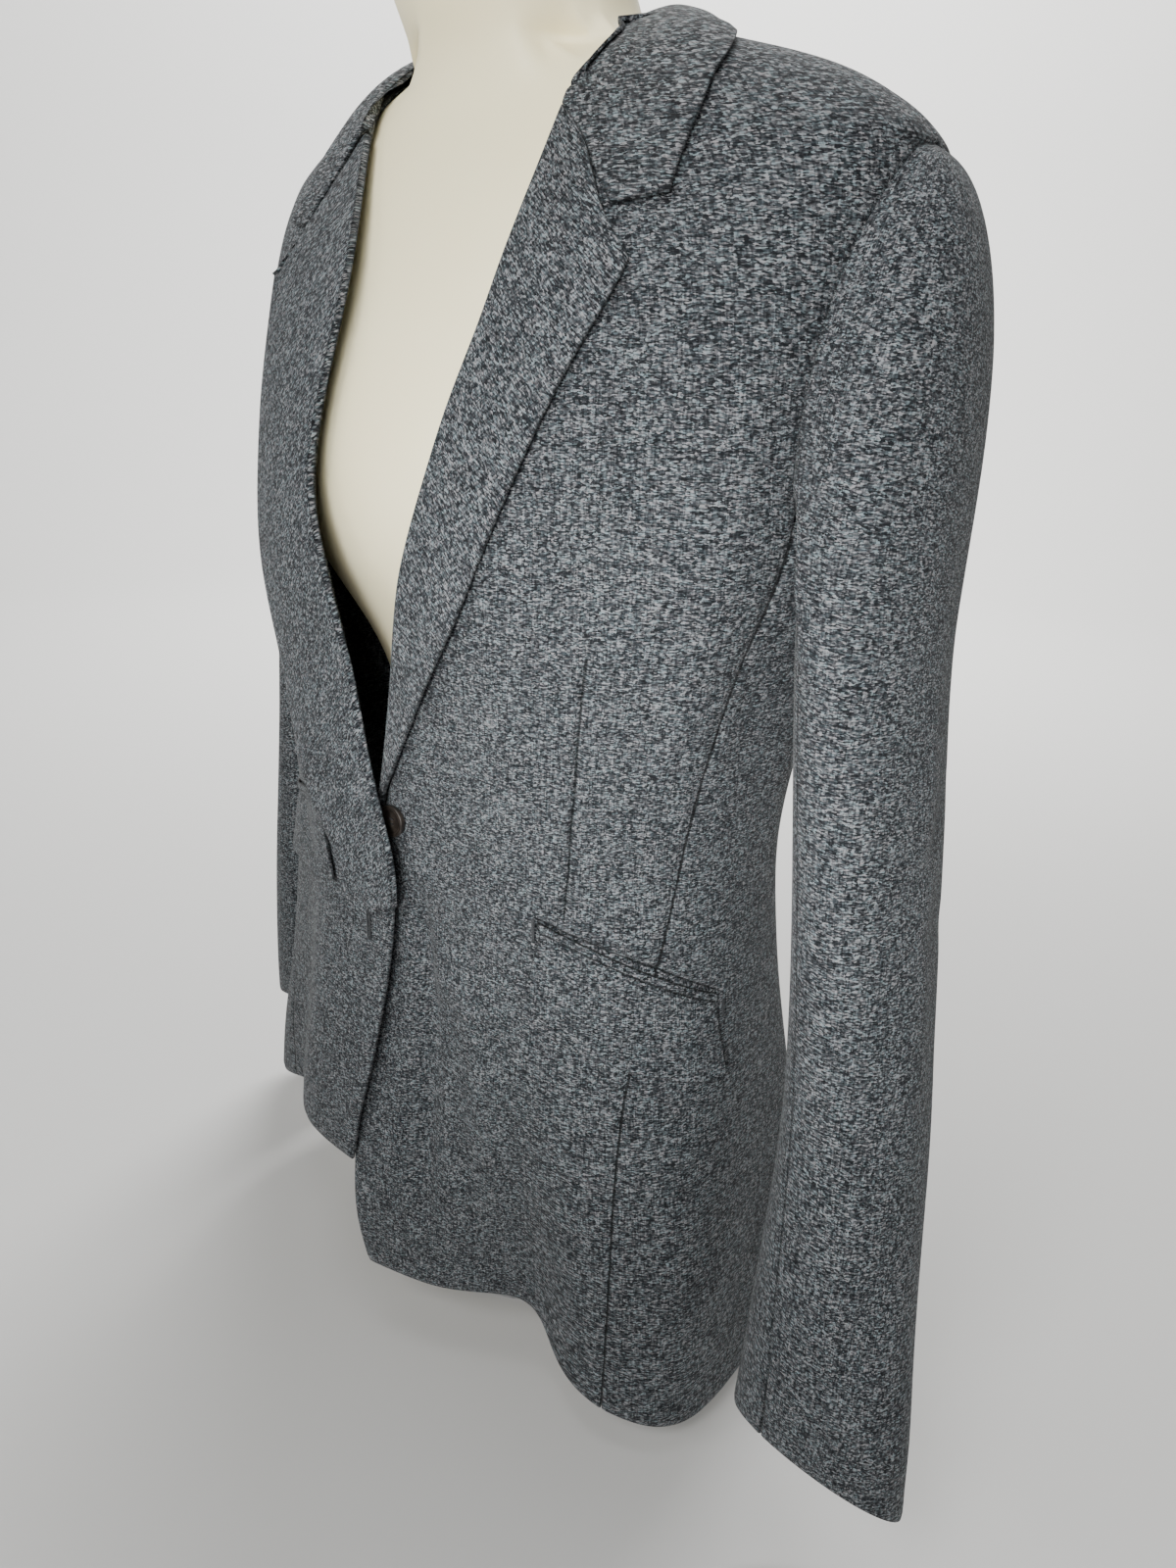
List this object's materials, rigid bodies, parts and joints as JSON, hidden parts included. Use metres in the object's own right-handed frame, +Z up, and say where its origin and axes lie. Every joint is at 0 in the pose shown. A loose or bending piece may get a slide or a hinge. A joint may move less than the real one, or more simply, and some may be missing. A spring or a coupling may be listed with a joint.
{
  "type": "single breasted blazer on a limbless torso form",
  "caption": "Women's tailored blazer with notched lapels, flap pockets and long sleeves, worn open at the neck by a smooth limbless torso form on a low stand.",
  "frame": {"origin": "on the underside of the stand's base, below the middle of the shoulders", "axes": "+Z up, the front of the blazer faces -Y, the wearer's left is +X"},
  "size_m": [0.6131, 0.2575, 0.855],
  "materials": {
    "grey_cloth": "soft matt melange weave",
    "black_lining": "smooth satin lining",
    "dark_horn": "satin",
    "cream_plastic": "satin moulded plastic",
    "steel": "satin"
  },
  "bodies": {
    "root": {"front_left": "grey_cloth", "side_left": "grey_cloth", "back_left": "grey_cloth", "lapel_left": "grey_cloth", "pocket_flap_left": "grey_cloth", "pocket_jet_left": "grey_cloth", "sleeve_upper_left": "grey_cloth", "sleeve_under_left": "grey_cloth", "lining_left": "black_lining", "front_right": "grey_cloth", "side_right": "grey_cloth", "back_right": "grey_cloth", "lapel_right": "grey_cloth", "pocket_flap_right": "grey_cloth", "pocket_jet_right": "grey_cloth", "sleeve_upper_right": "grey_cloth", "sleeve_under_right": "grey_cloth", "lining_right": "black_lining", "collar": "grey_cloth", "form_torso": "cream_plastic", "form_base": "steel", "form_pole": "steel", "button": "dark_horn"}
  },
  "joints": []
}
